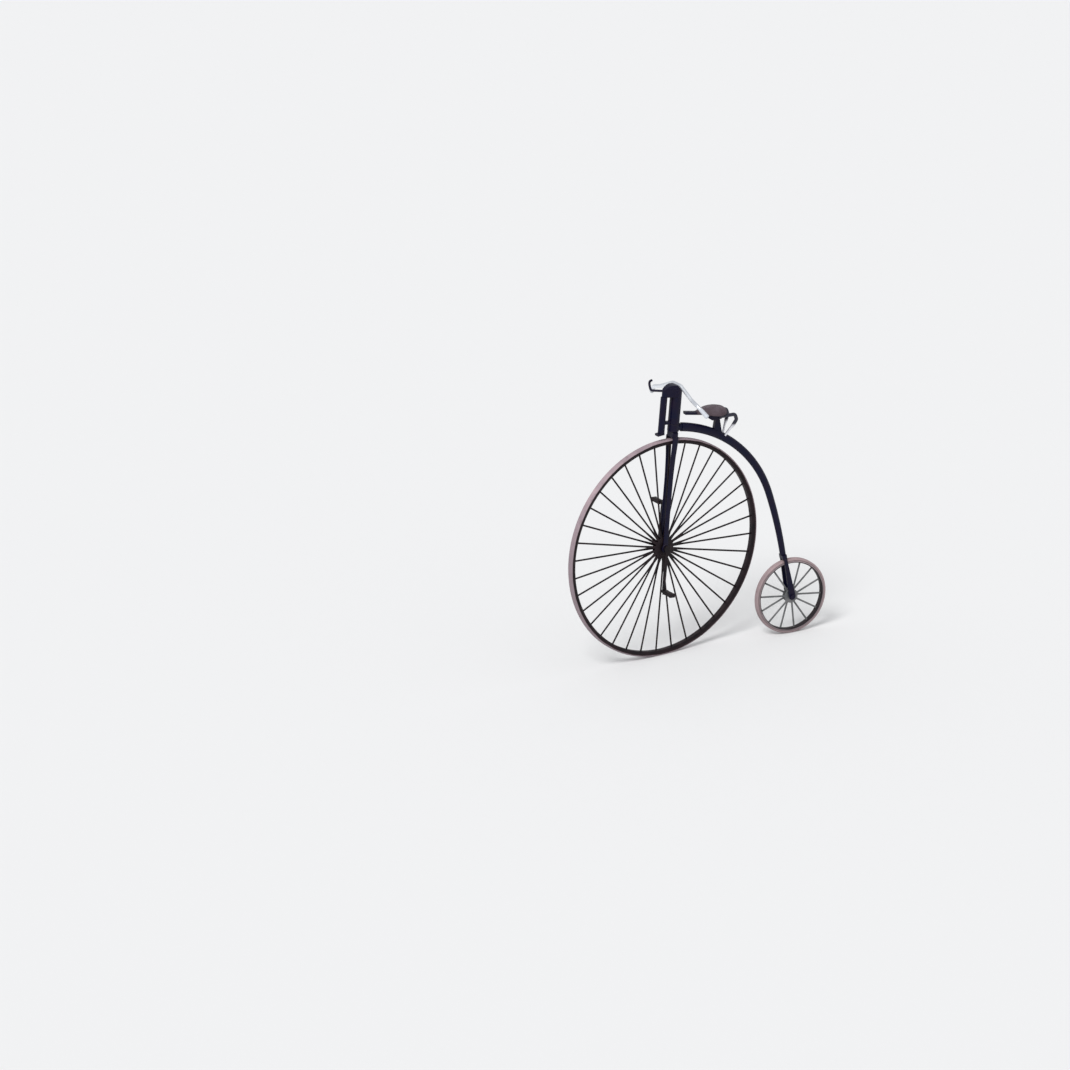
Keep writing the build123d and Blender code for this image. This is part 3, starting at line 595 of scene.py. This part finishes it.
def finishPiece(name, mesh, body, node, sharp=sharpAngle):
    work = bmesh.new()
    work.from_mesh(mesh)
    bmesh.ops.recalc_face_normals(work, faces=work.faces)
    work.to_mesh(mesh)
    work.free()
    mesh.shade_smooth()
    mesh.set_sharp_from_angle(angle=radians(sharp))
    piece = bpy.data.objects.new(name, mesh)
    scene.collection.objects.link(piece)
    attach(piece, body)
    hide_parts(node)
    print(name, len(mesh.vertices), "vertices")


def evenTube(radius):
    return {"Start Radius": radius, "End Radius": radius}


# wheels, one entry each, then what both share
wheelSizes = {
    "front": {
        "plane": steeredPlane, "body": "front_wheel", "radius": layout["frontRadius"],
        "tyreHeight": 0.42, "tyreHalf": 0.55, "treadHalf": 0.47, "tyreCorner": 0.22,
        "rimHeight": 0.42, "rimOuterHalf": 0.48, "rimInnerHalf": 0.38, "rimCorner": 0.05,
        "segments": 144, "spokes": 18, "first": {"left": 0.56, "right": 0.06},
        "spokeWidth": 0.26, "spokeThickness": 0.12, "rootSwell": 1.6,
        "flangeRadius": 1.65, "holeRadius": 0.36,
        "tyre": tyreLook, "rim": wheelLook, "spider": wheelLook,
        "wheelSlot": "wheel_paint", "tyreSlot": "tyre_paint",
    },
    "rear": {
        "plane": rearPlane, "body": "rear_wheel", "radius": layout["rearRadius"],
        "tyreHeight": 0.42, "tyreHalf": 0.5, "treadHalf": 0.42, "tyreCorner": 0.2,
        "rimHeight": 0.3, "rimOuterHalf": 0.49, "rimInnerHalf": 0.46, "rimCorner": 0.04,
        "segments": 96, "spokes": 7, "first": {"left": 0.4, "right": 0.9},
        "spokeWidth": 0.27, "spokeThickness": 0.12, "rootSwell": 1.3,
        "flangeRadius": 1.1, "holeRadius": 0.3,
        "tyre": rearTyreLook, "rim": rearRimLook, "spider": rearSpokeLook,
        "wheelSlot": "rear_wheel_paint", "tyreSlot": "tyre_paint",
    },
}
wheelFit = {
    "treadInside": 0.012, "bite": 0.04, "tyreCornerPoints": 6, "rimCornerPoints": 3,
    "flangeOut": 0.3, "flangeHalf": 0.08, "flangeSegments": 48, "flangeCornerPoints": 3,
    "rootDepth": 0.48, "swellEnd": 0.22, "spokeSteps": 12, "spokeCornerPoints": 2, "corner": 0.035,
}


def makeWheel(name, wheel, fit):
    seat = wheel["radius"] - wheel["tyreHeight"]
    rimOuter = seat + fit["bite"]
    rimInner = rimOuter - wheel["rimHeight"]
    grow(name + "Tyre", "ring", {
        "Inner Radius": seat, "Inner Half": wheel["tyreHalf"],
        "Outer Radius": wheel["radius"] - fit["treadInside"], "Outer Half": wheel["treadHalf"],
        "Corner": wheel["tyreCorner"], "Corner Points": fit["tyreCornerPoints"],
        "Segments": wheel["segments"], "Material": wheel["tyre"],
    }, wheel["plane"], wheel["body"], name + "_tyre")
    grow(name + "Rim", "ring", {
        "Inner Radius": rimInner, "Inner Half": wheel["rimInnerHalf"],
        "Outer Radius": rimOuter, "Outer Half": wheel["rimOuterHalf"],
        "Corner": wheel["rimCorner"], "Corner Points": fit["rimCornerPoints"],
        "Segments": wheel["segments"], "Material": wheel["rim"],
    }, wheel["plane"], wheel["body"], name + "_rim")
    for side, sign in sides:
        grow(name + "Spokes" + side.capitalize(), "spider", {
            "Spokes": wheel["spokes"], "First": wheel["first"][side],
            "Root Radius": wheel["flangeRadius"] - fit["rootDepth"],
            "Root Out": sign * fit["flangeOut"], "Tip Radius": rimInner + fit["bite"],
            "Width": wheel["spokeWidth"], "Thickness": wheel["spokeThickness"],
            "Root Swell": wheel["rootSwell"], "Swell End": fit["swellEnd"],
            "Steps": fit["spokeSteps"], "Spoke Corner Points": fit["spokeCornerPoints"],
            "Hole Radius": wheel["holeRadius"], "Flange Radius": wheel["flangeRadius"],
            "Flange Half": fit["flangeHalf"], "Flange Corner Points": fit["flangeCornerPoints"],
            "Corner": fit["corner"], "Segments": fit["flangeSegments"], "Material": wheel["spider"],
        }, wheel["plane"], wheel["body"], name + "_spokes_" + side)


for wheelName, wheel in wheelSizes.items():
    makeWheel(wheelName, wheel, wheelFit)
print("wheels made")

# backbone: bent over the wheel, then one slight curve down to the rear fork
backboneSizes = {
    "startRadius": 0.67, "endRadius": 0.45, "neckStub": 1.3, "bendEnd": 18.0, "lean": 11.0,
    "rearCrownTop": 6.82, "bendSteps": 60, "lowerSteps": 30, "spacing": 0.4, "sides": 28,
}


def backbonePath(size):
    start = radians(90 - layout["rake"]) - size["neckStub"] / backboneRadius
    finish = radians(size["bendEnd"])
    points = []
    for step in range(size["bendSteps"] + 1):
        angle = start + (finish - start) * step / size["bendSteps"]
        points.append(Vector((cos(angle), sin(angle), 0)) * backboneRadius)
    lean = radians(size["lean"])
    end = Vector((rearAxle.x - hub.x, rearAxle.z - hub.z, 0))
    end += Vector((-sin(lean), cos(lean), 0)) * size["rearCrownTop"]
    heading = Vector((sin(finish), -cos(finish), 0))
    side = Vector((heading.y, -heading.x, 0))
    reach = end - points[-1]
    centre = points[-1] + side * reach.length_squared / (2 * reach.dot(side))
    spoke = points[-1] - centre
    turn = 2 * reach.angle(heading) * (-1 if reach.dot(side) > 0 else 1)
    for step in range(1, size["lowerSteps"] + 1):
        points.append(centre + Matrix.Rotation(turn * step / size["lowerSteps"], 3, "Z") @ spoke)
    return points


grow("backboneTube", "tube", {
    "Spacing": backboneSizes["spacing"], "Start Radius": backboneSizes["startRadius"],
    "End Radius": backboneSizes["endRadius"], "Sides": backboneSizes["sides"],
    "Material": frameLook,
}, bikePlane, "frame", "backbone", backbonePath(backboneSizes))
print("backbone made")

# fork legs: blades that close in below the rim, each with a round bearing at its foot
legSizes = {
    "thickness": 0.26, "points": 28, "squarePower": 0.62, "steps": 36,
    "sections": [  # height, half gap and width
        (0.45, 0.48, 0.84), (2.6, 0.45, 0.78), (6.5, 0.40, 0.76), (11.0, 0.39, 0.78),
        (14.2, 0.50, 0.88), (16.0, 0.65, 0.98), (17.4, 0.72, 1.02),
    ],
    "bearingOut": 0.48, "bearingPoints": 48,
    "bearing": [  # radius and distance outwards
        (0.39, 0.0), (0.58, 0.0), (0.62, 0.04), (0.62, 0.28), (0.58, 0.32), (0.39, 0.32),
    ],
}


# smooth value of one column of the sections at a place along them
def sectionValue(sections, column, place):
    stations = [row[0] for row in sections]
    spot = max(i for i in range(len(sections) - 1) if stations[i] <= place or i == 0)
    share = (place - stations[spot]) / (stations[spot + 1] - stations[spot])
    before, low = sections[max(spot - 1, 0)][column], sections[spot][column]
    high, after = sections[spot + 1][column], sections[min(spot + 2, len(sections) - 1)][column]
    return low + 0.5 * share * (
        high - before + share * (2 * before - 5 * low + 4 * high - after
                                 + share * (3 * (low - high) + after - before))
    )


# joins rings of points into a skin, closed round each ring
def skin(work, rings, looped=False):
    count = len(rings[0])
    pairs = list(zip(rings, rings[1:])) + ([(rings[-1], rings[0])] if looped else [])
    for one, two in pairs:
        for i in range(count):
            work.faces.new((one[i], one[(i + 1) % count], two[(i + 1) % count], two[i]))
    if not looped:
        work.faces.new(rings[0])
        work.faces.new(rings[-1][::-1])


def meshFrom(work, name, where, material):
    mesh = bpy.data.meshes.new(name)
    work.to_mesh(mesh)
    work.free()
    mesh.transform(where)
    mesh.materials.append(material)
    return mesh


# a sine or cosine pushed out by a power under 1, so that the ring has flat sides and round corners
def squareOff(value, power):
    return (1 if value > 0 else -1) * abs(value) ** power


def legMesh(size, sign):
    work = bmesh.new()
    foot, top = size["sections"][0][0], size["sections"][-1][0]
    halfThickness = size["thickness"] / 2
    rings = []
    for step in range(size["steps"] + 1):
        height = foot + (top - foot) * step / size["steps"]
        middle = sectionValue(size["sections"], 1, height) + halfThickness
        half = sectionValue(size["sections"], 2, height) / 2
        ring = []
        for number in range(size["points"]):
            angle = 2 * pi * (number + 0.5) / size["points"]
            across = half * squareOff(cos(angle), size["squarePower"])
            out = middle + halfThickness * squareOff(sin(angle), size["squarePower"])
            ring.append(work.verts.new((across, height, sign * out)))
        rings.append(ring)
    skin(work, rings)
    rings = []
    for number in range(size["bearingPoints"]):
        angle = 2 * pi * number / size["bearingPoints"]
        rings.append([
            work.verts.new((
                radius * cos(angle), radius * sin(angle), sign * (size["bearingOut"] + out),
            ))
            for radius, out in size["bearing"]
        ])
    skin(work, rings, looped=True)
    return meshFrom(work, "forkLeg", steeredPlane, frameLook)


for side, sign in sides:
    finishPiece("forkBlade" + side.capitalize(), legMesh(legSizes, sign), "steering",
                "fork_leg_" + side)
print("fork made")

# handlebar and grips; bends are (back, up, out) from the bar's centre over the lug
barSizes = {
    "height": 25.41, "radius": 0.28, "bendRadius": 1.2, "bendPoints": 10, "spacing": 0.12,
    "endRound": 0.1, "sides": 18,
    "bends": [(0.0, 0.0, 1.0), (0.0, -1.4, 3.95), (0.0, -1.9, 5.6), (0.8, -3.2, 7.1)],
    "gripRadius": 0.35, "gripInnerRadius": 0.301, "gripLength": 1.75, "gripCap": 0.1,
    "gripRound": 0.22, "gripInnerRound": 0.11, "gripSpacing": 0.035, "gripSides": 24,
}
barCentre = Vector((0, barSizes["height"], 0))


def makeHandlebar(size):
    leftBends = [Vector(bend) + barCentre for bend in size["bends"]]
    rightBends = [Vector((back, up, -out)) for back, up, out in leftBends]
    grow("handlebarWire", "tube", {
        **evenTube(size["radius"]), "Bend Radius": size["bendRadius"],
        "Bend Points": size["bendPoints"], "Spacing": size["spacing"],
        "Start Round": size["endRound"], "End Round": size["endRound"], "Sides": size["sides"],
        "Material": barLook,
    }, steeredPlane, "steering", "handlebar", leftBends[::-1] + rightBends)
    for side, bends in (("left", leftBends), ("right", rightBends)):
        heading = (bends[-2] - bends[-1]).normalized()
        tip = bends[-1] - heading * size["gripCap"]
        grow("grip" + side.capitalize() + "Handle", "tube", {
            "Spacing": size["gripSpacing"], "Start Radius": size["gripRadius"],
            "End Radius": size["gripInnerRadius"], "Start Round": size["gripRound"],
            "End Round": size["gripInnerRound"], "Sides": size["gripSides"], "Material": gripLook,
        }, steeredPlane, "steering", "grip_" + side,
            [tip, tip + heading * size["gripLength"]])


makeHandlebar(barSizes)

# brake lever, ahead of the bar; bends are (up, out) from the bar's centre
leverSizes = {
    "forward": 2.16, "bends": [(-0.95, -0.37), (-1.75, -3.45), (-0.5, -4.1), (-0.12, -3.3)],
    "radius": 0.18, "bendRadius": 0.55, "bendPoints": 10, "spacing": 0.1, "endRound": 0.14,
    "sides": 16,
}
grow("brakeLeverWire", "tube", {
    **evenTube(leverSizes["radius"]), "Bend Radius": leverSizes["bendRadius"],
    "Bend Points": leverSizes["bendPoints"], "Spacing": leverSizes["spacing"],
    "End Round": leverSizes["endRound"], "Sides": leverSizes["sides"], "Material": frameLook,
}, steeredPlane, "steering", "brake_lever",
    [Vector((-leverSizes["forward"], up, out)) + barCentre for up, out in leverSizes["bends"]])

# brake rod, in line with the lever
rodSizes = {"foot": 18.06, "top": 23.6, "radius": 0.5, "spacing": 0.4, "sides": 28}
grow("brakeRodTube", "tube", {
    **evenTube(rodSizes["radius"]), "Spacing": rodSizes["spacing"], "Sides": rodSizes["sides"],
    "Material": frameLook,
}, steeredPlane, "steering", "brake_rod",
    [Vector((-leverSizes["forward"], rodSizes[end], 0)) for end in ("foot", "top")])
print("handlebar made")

# saddle springs: thin bright wire up from the backbone, then a thicker dark end round to the
# frame; bends are (back, up, out) from the seat
springSizes = {
    "bends": [
        (0.90, -4.95, 0.30), (1.55, -3.60, 0.85), (1.95, -3.00, 1.15), (2.38, -2.10, 1.40),
        (2.12, -1.25, 1.40), (-0.60, -1.25, 1.40),
    ],
    "bendRadius": 0.42, "bendPoints": 8, "startRadius": 0.18, "endRadius": 0.27,
    "thickFrom": 0.26, "thickTo": 0.34, "endRound": 0.2, "spacing": 0.1, "sides": 16,
}


def makeSpring(size, side, sign):
    grow("saddleSpring" + side.capitalize(), "tube", {
        "Bend Radius": size["bendRadius"], "Bend Points": size["bendPoints"],
        "Spacing": size["spacing"], "Start Radius": size["startRadius"],
        "End Radius": size["endRadius"], "Taper From": size["thickFrom"],
        "Taper To": size["thickTo"], "End Round": size["endRound"], "Sides": size["sides"],
        "Material": springLook,
    }, seatPlane, "frame", "saddle_spring_" + side,
        [Vector((back, up, sign * out)) for back, up, out in size["bends"]])


for side, sign in sides:
    makeSpring(springSizes, side, sign)
print("springs made")

# saddle leather: a few sections smoothed into one form with a rolled edge
saddleSizes = {
    "sections": [  # back, half width, then the heights of top, edge and underside
        (-3.75, 0.62, -0.30, -0.48, -0.74), (-2.35, 1.50, -0.10, -0.44, -0.86),
        (-1.10, 2.24, 0.00, -0.50, -0.96), (-0.10, 2.22, 0.00, -0.52, -0.96),
        (0.64, 1.62, -0.12, -0.52, -0.90), (1.04, 0.90, -0.30, -0.52, -0.80),
    ],
    "lengthSteps": 44, "widthSteps": 28, "endRound": 0.24, "endFlat": 0.85,
    "hollow": -0.66, "topRoll": 0.06, "lowRoll": 0.1, "topRollPower": 12, "lowRollPower": 16,
    "sharp": 50.0,
}


def saddleMesh(size):
    work = bmesh.new()
    first, last = size["sections"][0][0], size["sections"][-1][0]
    lengthSteps, widthSteps = size["lengthSteps"], size["widthSteps"]
    upper = [cos(pi * number / widthSteps) for number in range(widthSteps + 1)]
    lower = [-across for across in upper[1:-1]]
    rings = []
    for step in range(lengthSteps + 1):
        back = first + (last - first) * (0.5 - 0.5 * cos(pi * step / lengthSteps))
        half, top, edge, base = [sectionValue(size["sections"], n, back) for n in (1, 2, 3, 4)]
        inset = 0.0  # grows to 1 at both ends
        for distance in (back - first, last - back):
            if distance < size["endRound"]:
                inset = 1 - sqrt(max(1 - (1 - distance / size["endRound"]) ** 2, 0.0))
        half -= inset * size["endRound"]
        middle = (top + base) / 2
        tops = [
            top - (top - edge) * across**2 - size["topRoll"] * across ** size["topRollPower"]
            for across in upper
        ]
        bottoms = [
            size["hollow"] - (size["hollow"] - base) * across**2
            + size["lowRoll"] * across ** size["lowRollPower"]
            for across in lower
        ]
        flatten = 1 - size["endFlat"] * inset
        rings.append([
            work.verts.new((back, middle + (up - middle) * flatten, across * half))
            for across, up in zip(upper + lower, tops + bottoms)
        ])
    skin(work, rings)
    return meshFrom(work, "saddleLeather", seatPlane, saddleLook)


finishPiece("saddleLeather", saddleMesh(saddleSizes), "frame", "saddle_top",
            saddleSizes["sharp"])
print("saddle made")

# CAD nodes keep their shape and take the look of their slot
looks = {
    "frame_paint": frameLook, "wheel_paint": wheelLook, "rear_wheel_paint": rearSpokeLook,
    "tyre_paint": tyreLook, "saddle_leather": saddleLook, "bare_wire": barLook,
    "grip_paint": gripLook, "spring_wire": springLook,
}
for part in frame["record"]["subparts"]:
    node = frame["nodes"][part["node"]]
    node.data.materials.clear()
    node.data.materials.append(looks[part["material_slot"]])

# stage and light; the sun's turn is in degrees about x, y and z
stageSizes = {
    "floorHeight": -0.0378958, "floorHalf": 3.0, "floorColour": (0.84, 0.84, 0.84, 1.0),
    "floorRoughness": 0.9, "worldColour": (0.97, 0.98, 1.0, 1.0), "worldStrength": 0.62,
    "sunStrength": 1.9, "sunAngle": 22.0, "sunTurn": (38.0, -18.0, -30.0),
}


def makeFloor(size):
    half, height = size["floorHalf"], size["floorHeight"]
    corners = [(-half, -half), (half, -half), (half, half), (-half, half)]
    mesh = bpy.data.meshes.new("floor")
    mesh.from_pydata([(x, y, height) for x, y in corners], [], [(0, 1, 2, 3)])
    material, _, shader = newMaterial("floorPaint")
    shader.inputs["Base Color"].default_value = size["floorColour"]
    shader.inputs["Roughness"].default_value = size["floorRoughness"]
    mesh.materials.append(material)
    floor = bpy.data.objects.new("floor", mesh)
    scene.collection.objects.link(floor)


def makeLight(size):
    world = bpy.data.worlds.new("world")
    scene.world = world
    world.use_nodes = True
    background = world.node_tree.nodes["Background"]
    background.inputs["Color"].default_value = size["worldColour"]
    background.inputs["Strength"].default_value = size["worldStrength"]
    sun = bpy.data.lights.new("sun", "SUN")
    sun.energy = size["sunStrength"]
    sun.angle = radians(size["sunAngle"])
    lamp = bpy.data.objects.new("sun", sun)
    lamp.rotation_euler = [radians(turn) for turn in size["sunTurn"]]
    scene.collection.objects.link(lamp)


makeFloor(stageSizes)
makeLight(stageSizes)
print("stage made")
